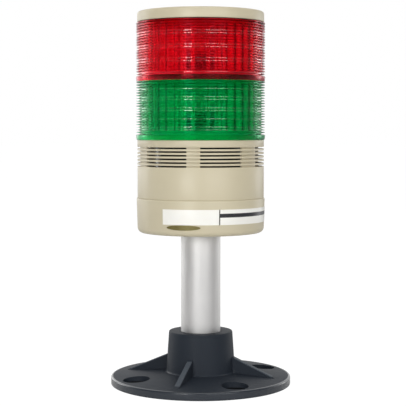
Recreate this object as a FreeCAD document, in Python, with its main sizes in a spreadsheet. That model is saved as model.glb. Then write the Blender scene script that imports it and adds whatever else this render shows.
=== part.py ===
import FreeCAD, Part
import os

import Sketcher
from FreeCAD import Placement, Rotation, Vector

# Two-tier stack light with a sounder, on an aluminium pole and a round foot.
# Millimetres, +Z up. The origin is the centre of the foot's underside, and the front faces -Y.
# Each piece is drawn with its own underside at zero and placed at its level.
# Angles are in degrees about +Z, from +X, so the front is at -90.

doc = FreeCAD.newDocument("stack_light")
sheet = doc.addObject("Spreadsheet::Sheet", "Sizes")

SIZES = [
    # Foot: a disc with a conical collar, gussets and recessed screw holes.
    ("foot_diameter", 100),
    ("foot_rim_height", 4.3),
    ("foot_crown_height", 6.7),
    ("foot_rim_round", 0.8),
    ("collar_root_diameter", 38.4),
    ("collar_top_diameter", 35.4),
    ("collar_height", 29.2),
    ("collar_edge_round", 0.6),
    ("collar_root_round", 1.0),
    ("gusset_count", 4),
    ("gusset_turn", -107.5),
    ("gusset_height", 15),
    ("gusset_reach", 88),
    ("gusset_thickness", 2.8),
    ("foot_hole_circle", 79),
    ("foot_hole_diameter", 6.5),
    ("foot_recess_diameter", 14.8),
    ("foot_recess_floor", 2.3),
    # Pole and what locks it.
    ("pole_diameter", 22),
    ("pole_wall", 1.5),
    ("pole_length", 94),
    ("pole_seat_height", 3),
    ("pole_edge_bevel", 0.3),
    ("pole_clearance", 0.1),
    ("pole_lead_in", 0.6),
    ("cable_hole_margin", 0.5),
    ("grub_diameter", 4),
    ("grub_clearance", 0.05),
    ("grub_key_diameter", 2.2),
    ("grub_key_depth", 2.5),
    ("foot_grub_height", 22),
    ("foot_grub_sink", 1.2),
    ("ring_grub_sink", 0.3),
    ("ring_flange_thickness", 2),
    ("ring_hub_wall", 3.4),
    ("ring_height", 7),
    ("ring_grub_height", 4.5),
    ("ring_screw_gap", 0.5),
    ("pole_proud", 0.1),
    # Base housing. Its wall widens from the body's diameter to a lip at the top.
    ("body_diameter", 70),
    ("base_height", 19.2),
    ("base_lip", 0.5),
    ("base_floor", 2.5),
    ("base_wall", 2.4),
    ("base_bottom_round", 2.8),
    ("base_rim_round", 0.5),
    ("base_pad_height", 3),
    # Spigot of each piece and the mouth that goes over it.
    ("mouth_wall", 1.9),
    ("spigot_clearance", 0.25),
    ("spigot_wall", 1.7),
    ("spigot_height", 3),
    ("spigot_end_gap", 0.1),
    ("shoulder_thickness", 2),
    ("module_pitch", 32),
    # How far a cut starts outside the surface that it opens.
    ("cut_margin", 1),
    # Small screws that hold the ring, the boards and the sounder.
    ("small_screw_diameter", 2.9),
    ("small_screw_head", 5),
    ("small_screw_head_height", 1.8),
    ("small_screw_length", 5),
    ("small_screw_slot", 0.7),
    ("small_screw_slot_depth", 0.8),
    ("screw_clearance", 0.15),
    ("pilot_clearance", 0.05),
    ("pilot_extra_depth", 0.5),
    # Main board in the base.
    ("board_gap", 1.4),
    ("board_thickness", 1.6),
    ("board_cable_hole", 14),
    ("board_notch_clearance", 0.7),
    ("board_post_diameter", 5.6),
    ("board_margin", 0.65),
    ("terminal_count", 5),
    ("terminal_pitch", 5),
    ("terminal_depth", 8.2),
    ("terminal_height", 8),
    ("terminal_back_offset", 13),
    ("terminal_screw_head", 3),
    ("terminal_head_height", 1),
    ("terminal_slot_depth", 0.5),
    ("terminal_well_margin", 0.2),
    ("terminal_well_depth", 2),
    ("terminal_wire_hole", 2.6),
    ("terminal_wire_height", 2.4),
    ("terminal_wire_depth", 3.3),
    ("capacitor_diameter", 6.3),
    ("capacitor_height", 8),
    ("capacitor_offset", 14),
    ("chip_width", 9),
    ("chip_depth", 6),
    ("chip_height", 2),
    ("chip_offset", 15),
    # Buzzer housing: louvre slots between posts, and a ledge and bosses for the sounder's plate.
    ("buzzer_wall", 2.4),
    ("buzzer_edge_round", 0.3),
    ("ledge_level", 9),
    ("ledge_thickness", 2),
    ("ledge_width", 3.6),
    ("ledge_boss_diameter", 8),
    ("ledge_boss_height", 5),
    ("louvre_count", 6),
    ("louvre_drop", 3.85),
    ("louvre_pitch", 1.95),
    ("louvre_slot", 0.9),
    ("louvre_depth", 1.2),
    ("post_pairs", 3),
    ("narrow_post_turn", -96.6),
    ("narrow_post_angle", 12.4),
    ("wide_post_angle", 20.2),
    ("wide_post_offset", 57.3),
    ("sounder_gap", 1),
    ("sounder_plate_clearance", 0.25),
    ("sounder_wire_hole", 4),
    ("sounder_height", 18),
    ("sounder_port_diameter", 9),
    ("sounder_port_depth", 1.5),
    ("sounder_step_height", 3),
    ("sounder_step", 1.5),
    ("sounder_ear_diameter", 8.4),
    ("sounder_screw_gap", 0.4),
    ("sounder_screw_length", 8),
    ("sounder_ear_thickness", 2),
    # Lenses.
    ("lens_rim_proud", 0.75),
    ("lens_rib_proud", 0.5),
    ("lens_bottom_band", 2.6),
    ("lens_top_land", 0.4),
    ("rib_count", 20),
    ("rib_depth", 1.2),
    ("rib_land", 0.12),
    ("lens_ledge", 0.7),
    ("flute_count", 40),
    ("flute_diameter", 5),
    ("flute_depth", 0.7),
    # Plate under each device, and the socket and lamp of each tier.
    ("plate_thickness", 1.8),
    ("plate_wire_hole", 7),
    ("lamp_wire_circle", 28),
    ("socket_width", 11.5),
    ("socket_corner", 1.5),
    ("socket_height", 9.5),
    ("socket_floor", 1.5),
    ("contact_diameter", 4),
    ("contact_height", 0.9),
    ("lamp_base_diameter", 9),
    ("lamp_base_clearance", 0.15),
    ("lamp_bulb_diameter", 16),
    ("lamp_neck_height", 1.5),
    ("lamp_bulb_height", 11.5),
    ("lamp_dome_round", 3),
    # Cap and the ring under it.
    ("seal_thickness", 0.5),
    ("seal_margin", 0.7),
    ("cap_height", 5.7),
    ("cap_roof", 2),
    ("cap_top_round", 1.3),
    # Three long screws that clamp the stack.
    ("tie_turn", 90),
    ("tie_boss_gap", 0.35),
    ("tie_diameter", 3),
    ("tie_clearance", 0.2),
    ("tie_head_diameter", 5.5),
    ("tie_head_height", 2.6),
    ("tie_head_clearance", 0.25),
    ("tie_head_depth", 3.2),
    ("tie_key_diameter", 2.9),
    ("tie_key_depth", 1.6),
    ("tie_boss_diameter", 7.6),
    ("tie_grip", 2.6),
    ("tie_end_gap", 0.5),
    ("cap_boss_drop", 3.8),
    # Stuck-on labels. Their angles are from the front, and to the right is positive.
    ("label_thickness", 0.15),
    ("label_level", 6.3),
    ("label_height", 8.2),
    ("front_label_left", -34.75),
    ("front_label_right", 16.1),
    ("label_gap", 0.2),
    ("rating_label_right", 100),
    ("sticker_width", 18.7),
    ("sticker_height", 2.8),
    ("sticker_level", 3.4),
    ("sticker_turn", -15.4),
]
for row, (alias, value) in enumerate(SIZES, 1):
    sheet.set(f"A{row}", alias)
    sheet.set(f"B{row}", str(value))
    sheet.setAlias(f"B{row}", alias)
doc.recompute()

# Heights and diameters that follow from the sizes above, as expressions.
RING_LEVEL = "(Sizes.base_floor + Sizes.base_pad_height)"
POLE_REACH = f"({RING_LEVEL} + Sizes.ring_height + Sizes.pole_proud)"
BASE = f"(Sizes.pole_seat_height + Sizes.pole_length - {POLE_REACH})"
SEAM = f"({BASE} + Sizes.base_height)"
GREEN = f"({SEAM} + Sizes.module_pitch)"
RED = f"({GREEN} + Sizes.module_pitch)"
SEAL = f"({RED} + Sizes.module_pitch)"
CAP = f"({SEAL} + Sizes.seal_thickness)"
MOUTH = "(Sizes.body_diameter - 2 * Sizes.mouth_wall)"
SPIGOT = f"({MOUTH} - 2 * Sizes.spigot_clearance)"
SPIGOT_BORE = f"({SPIGOT} - 2 * Sizes.spigot_wall)"
POLE_BORE = "(Sizes.pole_diameter - 2 * Sizes.pole_wall)"
POLE_SOCKET = "(Sizes.pole_diameter + 2 * Sizes.pole_clearance)"
GRUB_HOLE = "(Sizes.grub_diameter + 2 * Sizes.grub_clearance)"
TIE_CIRCLE = f"({SPIGOT_BORE} - Sizes.tie_boss_diameter - 2 * Sizes.tie_boss_gap)"
TIE_HOLE = "(Sizes.tie_diameter + 2 * Sizes.tie_clearance)"
SMALL_HOLE = "(Sizes.small_screw_diameter + 2 * Sizes.screw_clearance)"
SMALL_PILOT = "(Sizes.small_screw_diameter + 2 * Sizes.pilot_clearance)"
RING_HUB = f"({POLE_SOCKET} + 2 * Sizes.ring_hub_wall)"
RING_SCREW_CIRCLE = f"({RING_HUB} + Sizes.small_screw_head + 2 * Sizes.ring_screw_gap)"
RING_FLANGE = f"({RING_SCREW_CIRCLE} + Sizes.small_screw_head)"
BOARD_LEVEL = f"({POLE_REACH} + Sizes.board_gap)"
BOARD_TOP = f"({BASE} + {BOARD_LEVEL} + Sizes.board_thickness)"
SOUNDER = f"({TIE_CIRCLE} - Sizes.tie_diameter - 2 * Sizes.sounder_gap)"
EAR_CIRCLE = f"({SOUNDER} + Sizes.small_screw_head + 2 * Sizes.sounder_screw_gap)"
BASE_TOP = "(Sizes.body_diameter + 2 * Sizes.base_lip)"
BUZZER_BORE = "(Sizes.body_diameter - 2 * Sizes.buzzer_wall)"
SOUNDER_PLATE = f"({SEAM} + Sizes.ledge_level)"
LENS_RIM = "(Sizes.body_diameter + 2 * Sizes.lens_rim_proud)"
LENS_RIB = "(Sizes.body_diameter + 2 * Sizes.lens_rib_proud)"
LENS_BORE = f"({MOUTH} - 2 * Sizes.lens_ledge)"
RIB_PITCH = ("((Sizes.module_pitch - Sizes.lens_bottom_band - Sizes.lens_top_land)"
             " / Sizes.rib_count)")
PLATE_TOP = "(Sizes.spigot_height + Sizes.plate_thickness)"
MOUTH_DEPTH = f"({PLATE_TOP} + Sizes.spigot_end_gap)"
SOCKET_BORE = "(Sizes.lamp_base_diameter + 2 * Sizes.lamp_base_clearance)"


def size(expression):
    """The present value of an expression."""
    value = sheet.evalExpression(expression)
    return float(getattr(value, "Value", value))


def bind(target, path, expression):
    target.setExpression(path, expression)


def new_body(name, level="0", turn="0"):
    """A body that stands with its own zero at a level, turned about the pole's axis."""
    body = doc.addObject("PartDesign::Body", name)
    body.Label = name
    bind(body, "Placement.Base.z", level)
    bind(body, "Placement.Rotation.Angle", f"({turn}) * 1 deg")
    return body


def origin_feature(body, role):
    return next(feature for feature in body.Origin.OriginFeatures if feature.Role == role)


def sketch_in(body, name, role="XY_Plane", height="0", turn="0"):
    """A sketch on one of the body's planes, lifted off it and turned about the pole's axis."""
    sketch = body.newObject("Sketcher::SketchObject", name)
    sketch.AttachmentSupport = (origin_feature(body, role), [""])
    sketch.MapMode = "FlatFace"
    upright = Vector(0, 0, 1) if role == "XY_Plane" else Vector(0, 1, 0)
    sketch.AttachmentOffset = Placement(Vector(0, 0, 0), Rotation(upright, 1))
    bind(sketch, "AttachmentOffset.Base.z", height)
    bind(sketch, "AttachmentOffset.Rotation.Angle", f"({turn}) * 1 deg")
    return sketch


def pin_point(sketch, edge, end, across, up):
    """Ties a point of a sketch to two distances from the sketch's origin."""
    for kind, axis, text in (("DistanceX", -2, across), ("DistanceY", -1, up)):
        if text == "0":
            sketch.addConstraint(Sketcher.Constraint("PointOnObject", edge, end, axis))
            continue
        value = size(text)
        points = (-1, 1, edge, end) if value >= 0 else (edge, end, -1, 1)
        index = sketch.addConstraint(Sketcher.Constraint(kind, *points, abs(value)))
        name = f"{kind[-1].lower()}_{edge}_{end}"
        sketch.renameConstraint(index, name)
        bind(sketch, f"Constraints.{name}", text if value >= 0 else f"-({text})")


def outline(sketch, corners):
    """A closed outline of straight edges. Each corner is a pair of expressions."""
    points = [Vector(size(across), size(up), 0) for across, up in corners]
    first = sketch.GeometryCount
    for here, there in zip(points, points[1:] + points[:1]):
        sketch.addGeometry(Part.LineSegment(here, there), False)
    for number, (across, up) in enumerate(corners):
        before = first + (number - 1) % len(corners)
        sketch.addConstraint(Sketcher.Constraint("Coincident", before, 2, first + number, 1))
        pin_point(sketch, first + number, 1, across, up)


def circle(sketch, diameter, across="0", up="0"):
    """A circle at a place given by two expressions."""
    centre = Vector(size(across), size(up), 0)
    ring = Part.Circle(centre, Vector(0, 0, 1), size(diameter) / 2)
    edge = sketch.addGeometry(ring, False)
    pin_point(sketch, edge, 3, across, up)
    index = sketch.addConstraint(Sketcher.Constraint("Diameter", edge, size(diameter)))
    sketch.renameConstraint(index, f"diameter_{edge}")
    bind(sketch, f"Constraints.diameter_{edge}", diameter)


def rectangle(sketch, width, depth, across="0", up="0"):
    """A rectangle about a centre."""
    left, right = f"{across} - {width} / 2", f"{across} + {width} / 2"
    low, high = f"{up} - {depth} / 2", f"{up} + {depth} / 2"
    outline(sketch, [(left, low), (right, low), (right, high), (left, high)])


def turned(body, name, corners, kind="PartDesign::Revolution"):
    """An outline in the upright plane, turned about the pole's axis. Across is the radius."""
    sketch = sketch_in(body, f"{name}_outline", "XZ_Plane")
    outline(sketch, corners)
    feature = body.newObject(kind, name)
    feature.Profile = sketch
    feature.ReferenceAxis = (sketch, ["V_Axis"])
    feature.Angle = 360
    doc.recompute()
    return feature


def groove(body, name, corners):
    return turned(body, name, corners, "PartDesign::Groove")


def pad(body, name, sketch, length, symmetric=False, downward=False):
    feature = body.newObject("PartDesign::Pad", name)
    feature.Profile = sketch
    bind(feature, "Length", length)
    feature.SideType = "Symmetric" if symmetric else "One side"
    feature.Reversed = downward
    doc.recompute()
    return feature


def pocket(body, name, sketch, length="0", upward=False):
    """Cuts a sketch into the solid. With no length it goes right through."""
    feature = body.newObject("PartDesign::Pocket", name)
    feature.Profile = sketch
    feature.Reversed = upward
    if length == "0":
        feature.Type = "ThroughAll"
    else:
        bind(feature, "Length", length)
    doc.recompute()
    return feature


def around(body, name, feature, count):
    """Repeats a feature evenly about the pole's axis."""
    pattern = body.newObject("PartDesign::PolarPattern", name)
    pattern.Originals = [feature]
    pattern.Axis = (origin_feature(body, "Z_Axis"), [""])
    pattern.Angle = 360
    bind(pattern, "Occurrences", count)
    body.Tip = pattern
    doc.recompute()
    return pattern


def upwards(body, name, feature, count, pitch):
    """Repeats a feature at an even pitch up the pole's axis."""
    pattern = body.newObject("PartDesign::LinearPattern", name)
    pattern.Originals = [feature]
    pattern.Direction = (origin_feature(body, "Z_Axis"), [""])
    bind(pattern, "Length", f"{pitch} * ({count} - 1)")
    bind(pattern, "Occurrences", count)
    body.Tip = pattern
    doc.recompute()
    return pattern


def rims(feature, diameter, height):
    """Names of the feature's round edges of this diameter at this height."""
    radius, level = size(diameter) / 2, size(height)
    names = []
    for number, edge in enumerate(feature.Shape.Edges, 1):
        curve = edge.Curve
        if not isinstance(curve, Part.Circle):
            continue
        if abs(curve.Radius - radius) < 1e-4 and abs(curve.Center.z - level) < 1e-4:
            names.append(f"Edge{number}")
    return names


def eased(body, name, feature, edges, amount, kind="Fillet"):
    """Rounds or bevels edges of a feature."""
    ease = body.newObject(f"PartDesign::{kind}", name)
    ease.Base = (feature, edges)
    bind(ease, "Radius" if kind == "Fillet" else "Size", amount)
    body.Tip = ease
    doc.recompute()
    return ease


def on_circle(diameter, angle):
    """Where a point on a circle about the pole's axis lies, as two expressions."""
    return f"{diameter} / 2 * cos(({angle}) * 1 deg)", f"{diameter} / 2 * sin(({angle}) * 1 deg)"


def spread(diameter, count, first):
    """Places evenly spaced on a circle about the pole's axis."""
    step = 360 / count
    return [on_circle(diameter, f"{first} + {number * step}") for number in range(count)]


# The board's screws share the long screws' circle, midway between them. The ring's screws are
# in line with the long ones, and the sounder's ears a quarter turn from the rear one.
TIE_PLACES = spread(TIE_CIRCLE, 3, "Sizes.tie_turn")
RING_SCREW_PLACES = spread(RING_SCREW_CIRCLE, 3, "Sizes.tie_turn")
BOARD_SCREW_PLACES = spread(TIE_CIRCLE, 3, "Sizes.tie_turn + 60")
EAR_PLACES = spread(EAR_CIRCLE, 2, "Sizes.tie_turn + 90")


def holes(body, name, diameter, places, height, length="0", upward=False):
    """Round holes at several places, cut downward from a height unless told upward."""
    sketch = sketch_in(body, f"{name}_places", height=height)
    for across, up in places:
        circle(sketch, diameter, across, up)
    return pocket(body, name, sketch, length, upward)


def posts(body, name, diameter, places, height, length):
    """Round posts at several places, standing on a height."""
    sketch = sketch_in(body, f"{name}_places", height=height)
    for across, up in places:
        circle(sketch, diameter, across, up)
    return pad(body, name, sketch, length)


def screw_set(name, level, places, length, head_up=True):
    """Small slotted screws with cylinder heads. Zero is the face that the heads bear on."""
    body = new_body(name, level)
    body.AllowCompound = True
    shanks = sketch_in(body, f"{name}_shanks")
    heads = sketch_in(body, f"{name}_heads")
    slots = sketch_in(body, f"{name}_slots", height="Sizes.small_screw_head_height")
    for across, up in places:
        circle(heads, "Sizes.small_screw_head", across, up)
        circle(shanks, "Sizes.small_screw_diameter", across, up)
        rectangle(slots, "2 * Sizes.small_screw_head", "Sizes.small_screw_slot", across, up)
    pad(body, f"{name}_head", heads, "Sizes.small_screw_head_height")
    pad(body, f"{name}_shank", shanks, length, downward=True)
    pocket(body, f"{name}_slot", slots, "Sizes.small_screw_slot_depth")
    return body


def grub_screw(name, level, length):
    """A grub screw at the back, from the pole outward, with a key recess in its outer end."""
    body = new_body(name, level, "90")
    start = "(Sizes.pole_diameter / 2)"
    side = sketch_in(body, f"{name}_section", "YZ_Plane", height=start)
    circle(side, "Sizes.grub_diameter")
    pad(body, f"{name}_thread", side, length)
    key = sketch_in(body, f"{name}_key_section", "YZ_Plane", height=f"{start} + {length}")
    circle(key, "Sizes.grub_key_diameter")
    pocket(body, f"{name}_key", key, "Sizes.grub_key_depth")
    return body


def mount_flange():
    """Moulded foot: disc, conical collar with the pole's socket, gussets, recessed holes."""
    body = new_body("mount_flange")
    cable_hole = f"({POLE_BORE} / 2 + Sizes.cable_hole_margin)"
    socket = f"({POLE_SOCKET} / 2)"
    shell = turned(body, "disc_and_collar", [
        (cable_hole, "0"),
        ("Sizes.foot_diameter / 2", "0"),
        ("Sizes.foot_diameter / 2", "Sizes.foot_rim_height"),
        ("Sizes.collar_root_diameter / 2", "Sizes.foot_crown_height"),
        ("Sizes.collar_top_diameter / 2", "Sizes.collar_height"),
        (f"{socket} + Sizes.pole_lead_in", "Sizes.collar_height"),
        (socket, "Sizes.collar_height - Sizes.pole_lead_in"),
        (socket, "Sizes.pole_seat_height"),
        (cable_hole, "Sizes.pole_seat_height"),
    ])
    shell = eased(body, "rim_round", shell,
                  rims(shell, "Sizes.foot_diameter", "Sizes.foot_rim_height"),
                  "Sizes.foot_rim_round")
    eased(body, "collar_edge", shell,
          rims(shell, "Sizes.collar_top_diameter", "Sizes.collar_height"),
          "Sizes.collar_edge_round")
    # A gusset slopes from the collar down to the disc, and starts inside the collar's wall.
    inner = f"(({socket} + Sizes.collar_root_diameter / 2) / 2)"
    slope = ("((Sizes.gusset_height - Sizes.foot_rim_height)"
             " / (Sizes.gusset_reach - Sizes.collar_root_diameter) * 2)")
    gusset_sketch = sketch_in(body, "gusset_side", "XZ_Plane", turn="Sizes.gusset_turn")
    outline(gusset_sketch, [
        (inner, "Sizes.foot_rim_height / 2"),
        ("Sizes.gusset_reach / 2", "Sizes.foot_rim_height / 2"),
        ("Sizes.gusset_reach / 2", "Sizes.foot_rim_height"),
        (inner, f"Sizes.foot_rim_height + {slope} * (Sizes.gusset_reach / 2 - {inner})"),
    ])
    gusset = pad(body, "gusset", gusset_sketch, "Sizes.gusset_thickness", symmetric=True)
    gussets = around(body, "gussets", gusset, "Sizes.gusset_count")
    eased(body, "collar_root", gussets,
          rims(gussets, "Sizes.collar_root_diameter", "Sizes.foot_crown_height"),
          "Sizes.collar_root_round")
    hole_turn = "Sizes.gusset_turn + 180 / Sizes.gusset_count"
    place = [on_circle("Sizes.foot_hole_circle", hole_turn)]
    recess = holes(body, "recess", "Sizes.foot_recess_diameter", place,
                   "Sizes.foot_recess_floor", "Sizes.foot_crown_height", upward=True)
    around(body, "recesses", recess, "Sizes.gusset_count")
    hole = holes(body, "screw_hole", "Sizes.foot_hole_diameter", place,
                 "Sizes.foot_crown_height")
    around(body, "screw_holes", hole, "Sizes.gusset_count")
    grub = sketch_in(body, "grub_place", "XZ_Plane")
    circle(grub, GRUB_HOLE, "0", "Sizes.foot_grub_height")
    pocket(body, "grub_hole", grub, "Sizes.collar_root_diameter / 2")
    return body


def pole():
    """Aluminium tube that stands on the ledge in the foot."""
    body = new_body("pole", "Sizes.pole_seat_height")
    section = sketch_in(body, "tube_section")
    circle(section, "Sizes.pole_diameter")
    circle(section, POLE_BORE)
    tube = pad(body, "tube", section, "Sizes.pole_length")
    ends = rims(tube, "Sizes.pole_diameter", "0")
    ends += rims(tube, "Sizes.pole_diameter", "Sizes.pole_length")
    eased(body, "tube_ends", tube, ends, "Sizes.pole_edge_bevel", "Chamfer")
    return body


def pole_ring():
    """Flanged ring on the pole's top end, screwed to the base housing's floor."""
    body = new_body("pole_ring", f"{BASE} + {RING_LEVEL}")
    turned(body, "flange_and_hub", [
        (f"{POLE_SOCKET} / 2", "0"),
        (f"{RING_FLANGE} / 2", "0"),
        (f"{RING_FLANGE} / 2", "Sizes.ring_flange_thickness"),
        (f"{RING_HUB} / 2", "Sizes.ring_flange_thickness"),
        (f"{RING_HUB} / 2", "Sizes.ring_height"),
        (f"{POLE_SOCKET} / 2", "Sizes.ring_height"),
    ])
    holes(body, "flange_holes", SMALL_HOLE, RING_SCREW_PLACES, "Sizes.ring_flange_thickness")
    grub = sketch_in(body, "grub_place", "XZ_Plane")
    circle(grub, GRUB_HOLE, "0", "Sizes.ring_grub_height")
    pocket(body, "grub_hole", grub, f"{RING_FLANGE} / 2")
    return body


def spigot_corners(height, bore, wall_bore):
    """The top of a housing: a shoulder, the spigot on it, and the step back to the wall."""
    return [
        (f"{SPIGOT} / 2", height),
        (f"{SPIGOT} / 2", f"{height} + Sizes.spigot_height"),
        (f"{bore} / 2", f"{height} + Sizes.spigot_height"),
        (f"{bore} / 2", f"{height} - Sizes.shoulder_thickness"),
        (f"{wall_bore} / 2", f"{height} - Sizes.shoulder_thickness"),
    ]


def base_housing():
    """Cup with a tapered wall, a pad for the ring, bosses, board posts and the first spigot."""
    body = new_body("base_housing", BASE)
    wall_bore = "(Sizes.body_diameter - 2 * Sizes.base_wall)"
    cup = turned(body, "cup", [
        (f"{POLE_SOCKET} / 2", "0"),
        ("Sizes.body_diameter / 2", "0"),
        (f"{BASE_TOP} / 2", "Sizes.base_height"),
        *spigot_corners("Sizes.base_height", SPIGOT_BORE, wall_bore),
        (f"{wall_bore} / 2", "Sizes.base_floor"),
        (f"{RING_FLANGE} / 2", "Sizes.base_floor"),
        (f"{RING_FLANGE} / 2", RING_LEVEL),
        (f"{POLE_SOCKET} / 2", RING_LEVEL),
    ])
    cup = eased(body, "bottom_round", cup, rims(cup, "Sizes.body_diameter", "0"),
                "Sizes.base_bottom_round")
    eased(body, "rim_round", cup, rims(cup, BASE_TOP, "Sizes.base_height"),
          "Sizes.base_rim_round")
    boss_height = f"{BOARD_LEVEL} + Sizes.board_thickness - Sizes.base_floor"
    posts(body, "tie_bosses", "Sizes.tie_boss_diameter", TIE_PLACES, "Sizes.base_floor",
          boss_height)
    posts(body, "board_posts", "Sizes.board_post_diameter", BOARD_SCREW_PLACES,
          "Sizes.base_floor", f"{BOARD_LEVEL} - Sizes.base_floor")
    holes(body, "tie_holes", TIE_HOLE, TIE_PLACES, "Sizes.base_height")
    head_recess = "(Sizes.tie_head_diameter + 2 * Sizes.tie_head_clearance)"
    holes(body, "tie_head_recesses", head_recess, TIE_PLACES, "0", "Sizes.tie_head_depth",
          upward=True)
    holes(body, "ring_screw_holes", SMALL_PILOT, RING_SCREW_PLACES, RING_LEVEL,
          "Sizes.small_screw_length - Sizes.ring_flange_thickness + Sizes.pilot_extra_depth")
    holes(body, "board_screw_holes", SMALL_PILOT, BOARD_SCREW_PLACES, BOARD_LEVEL,
          "Sizes.small_screw_length")
    return body


def main_board():
    """Round circuit board with a cable hole, notched round the three tie bosses."""
    body = new_body("main_board", f"{BASE} + {BOARD_LEVEL}")
    section = sketch_in(body, "board_section")
    circle(section, f"({SPIGOT_BORE} - 2 * Sizes.board_margin)")
    circle(section, "Sizes.board_cable_hole")
    pad(body, "board", section, "Sizes.board_thickness")
    holes(body, "notches", "(Sizes.tie_boss_diameter + 2 * Sizes.board_notch_clearance)",
          TIE_PLACES, "Sizes.board_thickness")
    holes(body, "screw_holes", SMALL_HOLE, BOARD_SCREW_PLACES, "Sizes.board_thickness")
    return body


def terminal_block():
    """Moulded block across the back of the board: a wire mouth and a screw well for each way."""
    body = new_body("terminal_block", BOARD_TOP)
    width = "(Sizes.terminal_count * Sizes.terminal_pitch)"
    section = sketch_in(body, "block_section")
    rectangle(section, width, "Sizes.terminal_depth", "0", "Sizes.terminal_back_offset")
    pad(body, "block", section, "Sizes.terminal_height")
    wells = sketch_in(body, "well_places", height="Sizes.terminal_height")
    mouths = sketch_in(body, "mouth_places", "XZ_Plane",
                       height="-Sizes.terminal_back_offset + Sizes.terminal_depth / 2")
    well = "(Sizes.terminal_screw_head + 2 * Sizes.terminal_well_margin)"
    for across, up in terminal_places():
        circle(wells, well, across, up)
        circle(mouths, "Sizes.terminal_wire_hole", across, "Sizes.terminal_wire_height")
    pocket(body, "screw_wells", wells, "Sizes.terminal_well_depth")
    pocket(body, "wire_mouths", mouths, "Sizes.terminal_wire_depth")
    return body


def terminal_places():
    """Where the terminal's screws stand."""
    count = int(size("Sizes.terminal_count"))
    return [(f"(({number}) - (Sizes.terminal_count - 1) / 2) * Sizes.terminal_pitch",
             "Sizes.terminal_back_offset") for number in range(count)]


def terminal_screws():
    """Slotted screw heads in the wells of the terminal block."""
    well_floor = "Sizes.terminal_height - Sizes.terminal_well_depth"
    body = new_body("terminal_screws", f"{BOARD_TOP} + {well_floor}")
    body.AllowCompound = True
    heads = sketch_in(body, "head_places")
    slots = sketch_in(body, "slot_places", height="Sizes.terminal_head_height")
    for across, up in terminal_places():
        circle(heads, "Sizes.terminal_screw_head", across, up)
        rectangle(slots, "2 * Sizes.terminal_screw_head", "Sizes.small_screw_slot", across, up)
    pad(body, "heads", heads, "Sizes.terminal_head_height")
    pocket(body, "slots", slots, "Sizes.terminal_slot_depth")
    return body


def capacitor():
    """Upright can capacitor on the left of the board."""
    body = new_body("capacitor", BOARD_TOP)
    section = sketch_in(body, "can_section")
    circle(section, "Sizes.capacitor_diameter", "-Sizes.capacitor_offset", "0")
    pad(body, "can", section, "Sizes.capacitor_height")
    return body


def driver_chip():
    """Flat chip package on the right of the board."""
    body = new_body("driver_chip", BOARD_TOP)
    section = sketch_in(body, "package_section")
    rectangle(section, "Sizes.chip_depth", "Sizes.chip_width", "Sizes.chip_offset", "0")
    pad(body, "package", section, "Sizes.chip_height")
    return body


def window(body, name, height, start, end):
    """Cuts one slot through the wall between two angles from a narrow post's middle."""
    half = f"((({end}) - ({start})) / 2 * 1 deg)"
    near = "(Sizes.body_diameter / 2 - Sizes.buzzer_wall - Sizes.cut_margin)"
    far = f"((Sizes.body_diameter / 2 + Sizes.cut_margin) / cos({half}))"
    middle = f"Sizes.narrow_post_turn + (({start}) + ({end})) / 2"
    sketch = sketch_in(body, f"{name}_section", height=height, turn=middle)
    outline(sketch, [
        (f"{near} * cos({half})", f"-{near} * sin({half})"),
        (f"{far} * cos({half})", f"-{far} * sin({half})"),
        (f"{far} * cos({half})", f"{far} * sin({half})"),
        (f"{near} * cos({half})", f"{near} * sin({half})"),
    ])
    return pocket(body, name, sketch, "Sizes.louvre_slot", upward=True)


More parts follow.
